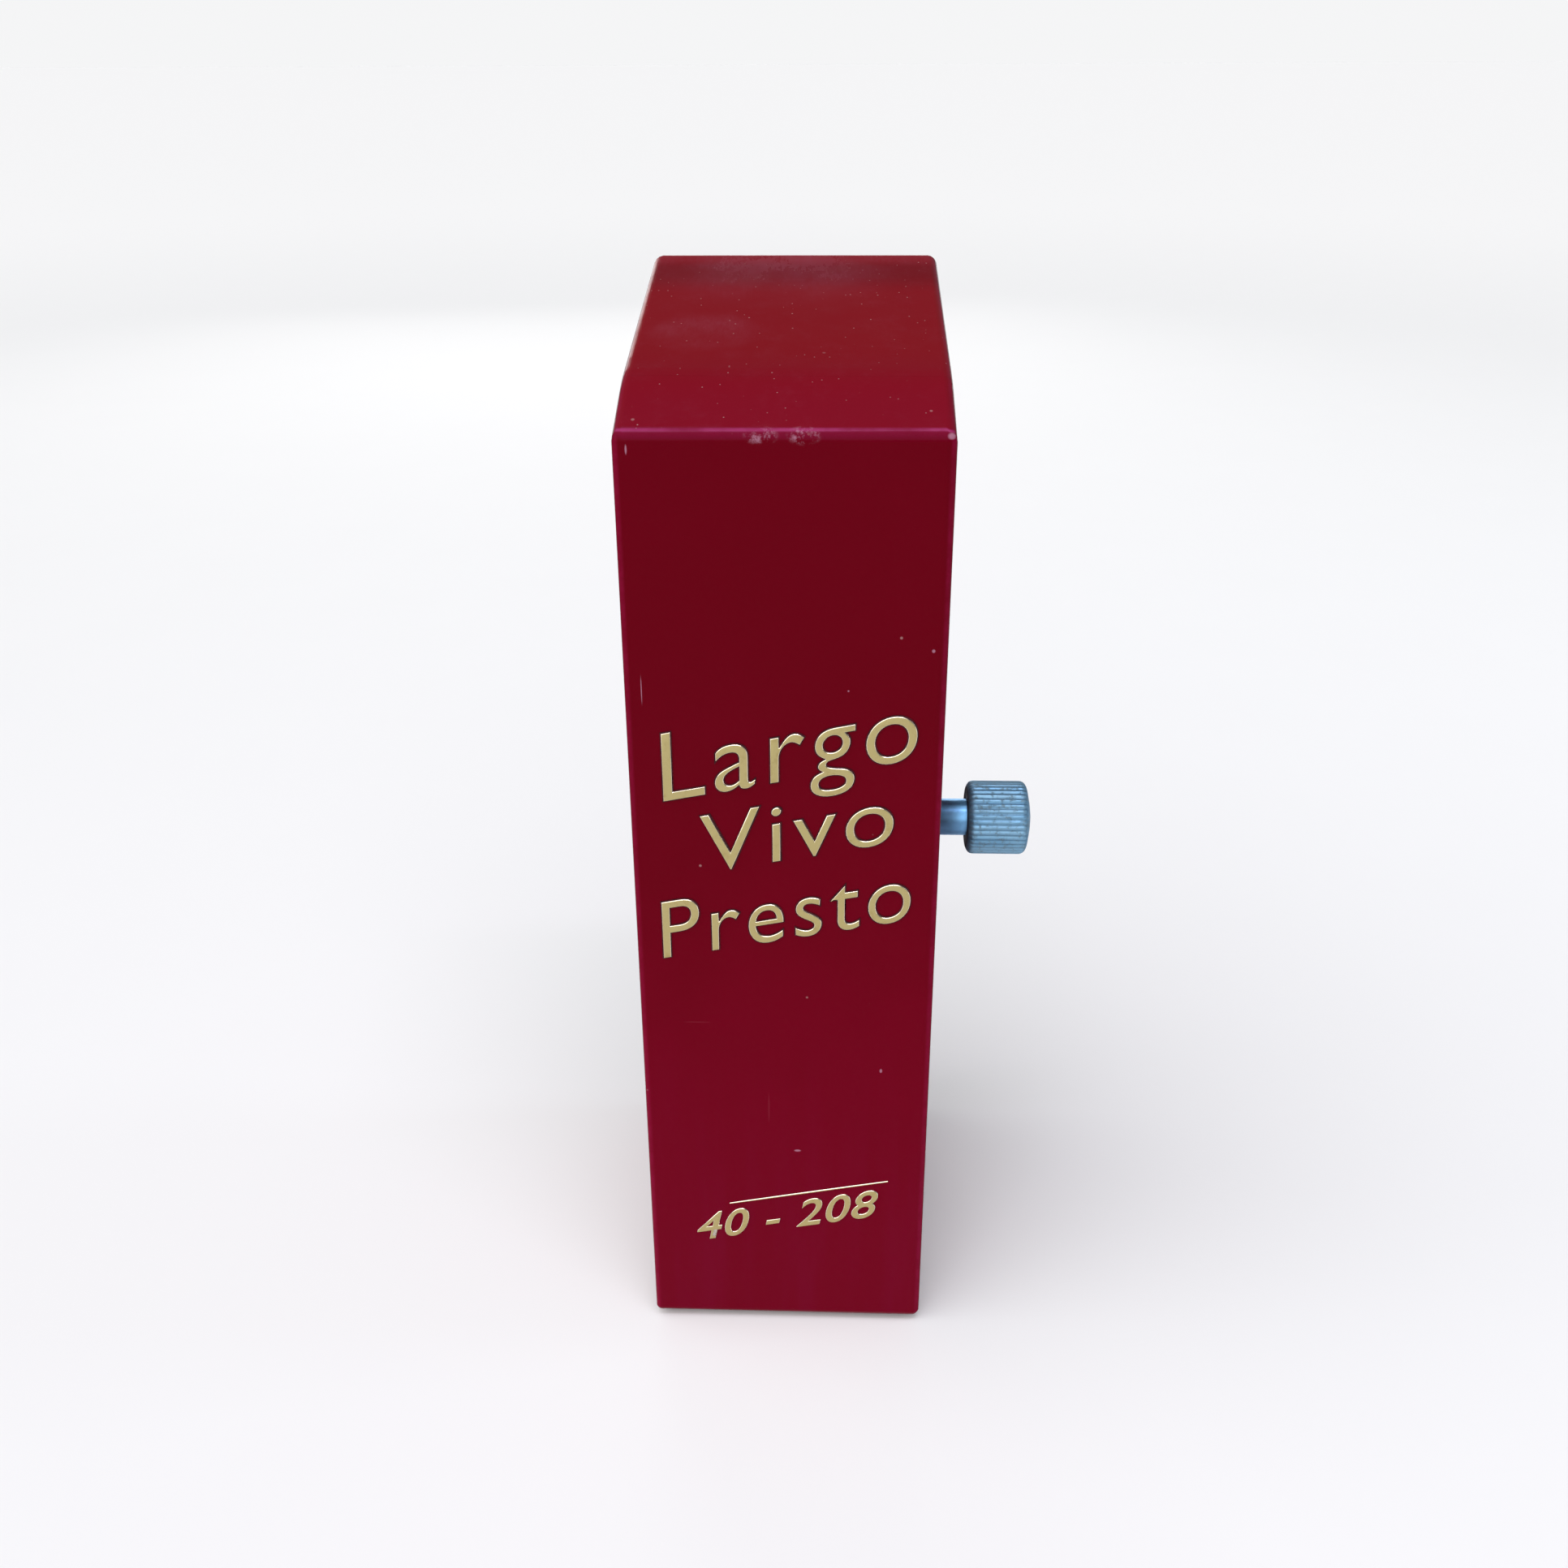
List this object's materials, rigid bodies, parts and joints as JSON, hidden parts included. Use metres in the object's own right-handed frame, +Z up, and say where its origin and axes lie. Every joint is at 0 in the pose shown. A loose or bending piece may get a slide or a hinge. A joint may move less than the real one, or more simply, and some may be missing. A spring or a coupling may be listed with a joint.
{
  "type": "metronome",
  "caption": "Pocket wind-up pendulum metronome: slim upright case with a pull-off front lid, scale, sliding weight, side winding knob and clockwork inside.",
  "frame": {"origin": "middle of the base pad's underside", "axes": "+Z up, the lid's front faces -Y, the winding knob is on +X"},
  "size_m": [0.0458, 0.0433, 0.123],
  "materials": {
    "crimson_plastic": "glossy, slightly hazed",
    "black_plastic": "matte",
    "felt": "felt",
    "scale_aluminium": "brushed, champagne anodised",
    "knob_aluminium": "satin, fluted",
    "brass": "satin",
    "steel": "polished",
    "spring_steel": "blued",
    "counterweight_metal": "cast zinc alloy, dull"
  },
  "bodies": {
    "case": {"case_body": "crimson_plastic", "base_cover": "black_plastic", "base_pad": "felt", "base_screw_left": "steel", "base_screw_right": "steel", "fascia": "black_plastic", "fascia_screw_left": "brass", "fascia_screw_right": "brass", "scale_plate": "scale_aluminium", "scale_rivet_lower": "brass", "scale_rivet_upper": "brass", "rod_clip": "brass", "stem_bush": "brass", "plate_left": "brass", "plate_right": "brass", "pillar_upper_front": "steel", "pillar_upper_rear": "steel", "pillar_lower_front": "steel", "pillar_lower_rear": "steel", "pillar_screw_upper_front": "steel", "pillar_screw_upper_rear": "steel", "pillar_screw_lower_front": "steel", "pillar_screw_lower_rear": "steel", "front_bridge": "brass", "bridge_screw_left": "steel", "bridge_screw_right": "steel", "staff_cock": "brass", "cock_screw": "steel", "movement_bracket": "steel", "case_screw_lower": "steel", "case_screw_upper": "steel", "click_stud": "steel", "click_spring": "spring_steel", "click_spring_screw": "steel"},
    "lid": {"lid": "crimson_plastic"},
    "pendulum": {"pendulum_staff": "steel", "rod_boss": "brass", "pendulum_rod": "steel", "lower_arm": "steel", "counterweight": "counterweight_metal", "counterweight_screw": "steel", "pallet_front": "steel", "pallet_rear": "steel"},
    "weight": {"sliding_weight": "brass", "weight_spring": "spring_steel"},
    "winding": {"winding_arbor": "steel", "ratchet_wheel": "steel", "knob": "knob_aluminium"},
    "click": {"click": "steel"},
    "barrel": {"barrel_drum": "brass", "barrel_cover": "brass", "mainspring": "spring_steel"},
    "intermediate": {"intermediate_arbor": "steel", "intermediate_wheel": "brass"},
    "escape": {"escape_arbor": "steel", "escape_wheel": "brass"}
  },
  "joints": [
    {"name": "lid_slide", "type": "slide", "parent": "case", "child": "lid", "axis": [0, -1, 0], "range_m": [0, 0.05]},
    {"name": "pendulum_swing", "type": "hinge", "parent": "case", "child": "pendulum", "pos_m": [0, 0, 0.0446], "axis": [0, 1, 0], "range_deg": [-12, 12]},
    {"name": "weight_slide", "type": "slide", "parent": "pendulum", "child": "weight", "axis": [0, 0, 1], "range_m": [0, 0.041]},
    {"name": "winding_turn", "type": "hinge", "parent": "case", "child": "winding", "pos_m": [0, 0.00235, 0.0592], "axis": [1, 0, 0], "continuous": true},
    {"name": "click_lift", "type": "hinge", "parent": "case", "child": "click", "pos_m": [0.0114, 0.00586, 0.06959], "axis": [1, 0, 0], "range_deg": [0, 12], "stiffness_Nm_per_rad": 0.0005, "springref_deg": -17.19, "deforming": ["click_spring"]},
    {"name": "barrel_turn", "type": "hinge", "parent": "case", "child": "barrel", "pos_m": [0, 0.00235, 0.0592], "axis": [1, 0, 0], "continuous": true},
    {"name": "intermediate_turn", "type": "hinge", "parent": "case", "child": "intermediate", "pos_m": [0, 0.00522, 0.04687], "axis": [1, 0, 0], "continuous": true},
    {"name": "escape_turn", "type": "hinge", "parent": "case", "child": "escape", "pos_m": [0, 0, 0.036], "axis": [1, 0, 0], "continuous": true}
  ],
  "couplings": [
    {"joint": "intermediate_turn", "follows": "barrel_turn", "ratio": -3.2},
    {"joint": "escape_turn", "follows": "barrel_turn", "ratio": 12.16}
  ]
}
